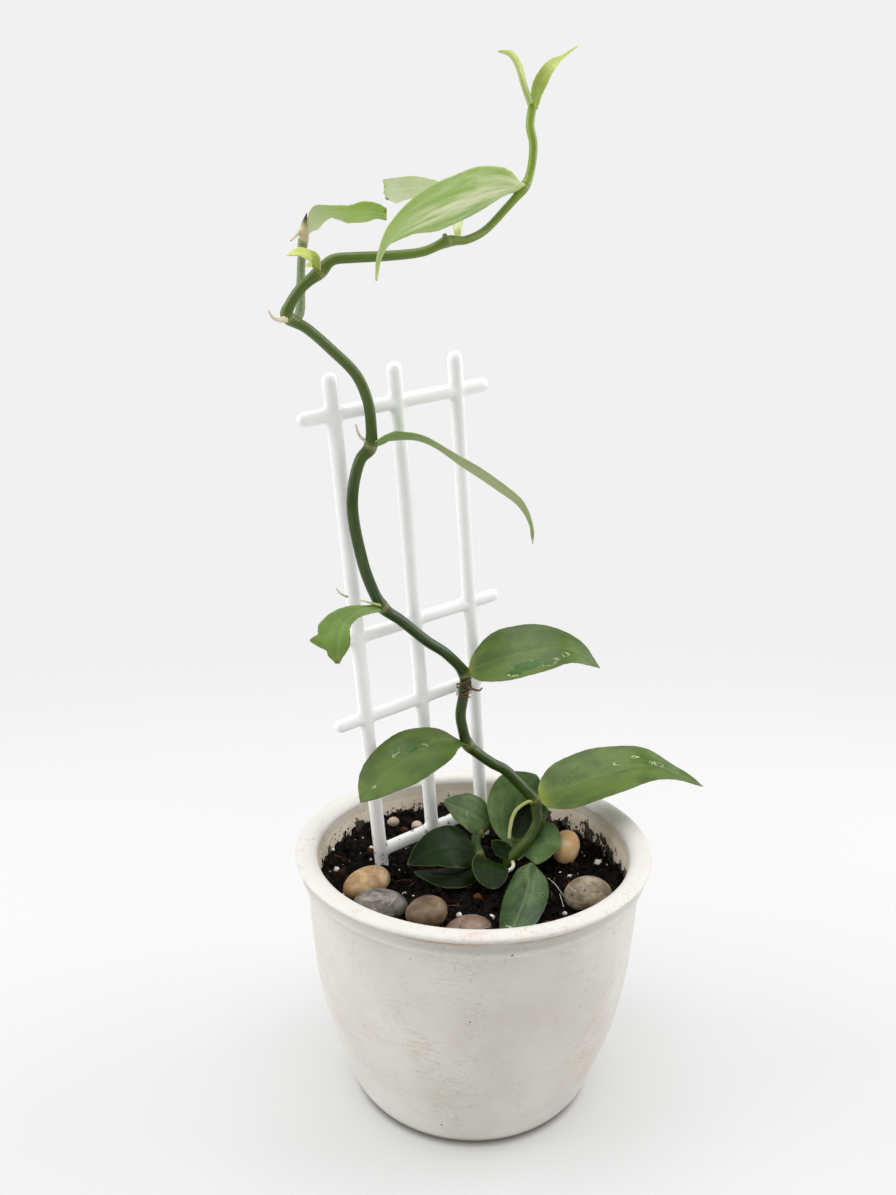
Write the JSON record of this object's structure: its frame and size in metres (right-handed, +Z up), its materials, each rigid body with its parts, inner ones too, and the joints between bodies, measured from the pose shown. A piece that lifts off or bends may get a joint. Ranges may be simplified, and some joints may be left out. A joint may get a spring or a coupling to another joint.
{
  "type": "potted vanilla orchid",
  "caption": "Climbing orchid with fleshy leaves on a bent stem before a slim white ladder trellis, in a round whitewashed ceramic pot of soil and pebbles.",
  "frame": {"origin": "middle of the pot's flat underside", "axes": "+Z up, +X along the trellis's cross bars, -Y towards the side that the leaves and the vine are on"},
  "size_m": [0.2092, 0.16, 0.4464],
  "materials": {
    "whitewashed_ceramic": "satin",
    "potting_soil": "matte",
    "white_plastic": "gloss",
    "stem": "satin",
    "dark_leaf": "satin",
    "mature_leaf": "satin",
    "pale_leaf": "satin",
    "young_leaf": "satin",
    "green_root": "matte",
    "dried_root": "matte",
    "tan_pebble": "satin",
    "grey_pebble": "satin",
    "brown_pebble": "satin",
    "orange_pebble": "satin",
    "pale_chip": "matte"
  },
  "bodies": {
    "root": {"pot": "whitewashed_ceramic", "soil": "potting_soil", "trellis": "white_plastic", "vine_stem": "stem", "basal_shoot": "stem", "leaf_right_low": "mature_leaf", "leaf_left_low": "mature_leaf", "leaf_right_mid": "mature_leaf", "leaf_eaten": "mature_leaf", "leaf_long": "mature_leaf", "leaf_upper": "pale_leaf", "leaf_behind": "pale_leaf", "leaf_back_shoot": "young_leaf", "leaf_curled": "young_leaf", "leaf_tip_left": "young_leaf", "leaf_tip_right": "young_leaf", "leaf_foot_a": "dark_leaf", "leaf_foot_b": "dark_leaf", "leaf_foot_c": "dark_leaf", "leaf_foot_d": "dark_leaf", "leaf_foot_e": "dark_leaf", "leaf_foot_f": "dark_leaf", "leaf_foot_g": "dark_leaf", "leaf_foot_h": "dark_leaf", "leaf_foot_i": "dark_leaf", "root_curled": "green_root", "root_white": "pale_chip", "root_high": "dried_root", "root_wrap": "dried_root", "pebble_tan": "tan_pebble", "pebble_grey": "grey_pebble", "pebble_brown": "brown_pebble", "pebble_front": "brown_pebble", "pebble_orange": "orange_pebble", "pebble_right": "brown_pebble", "chip_left": "pale_chip", "chip_right": "pale_chip"}
  },
  "joints": []
}
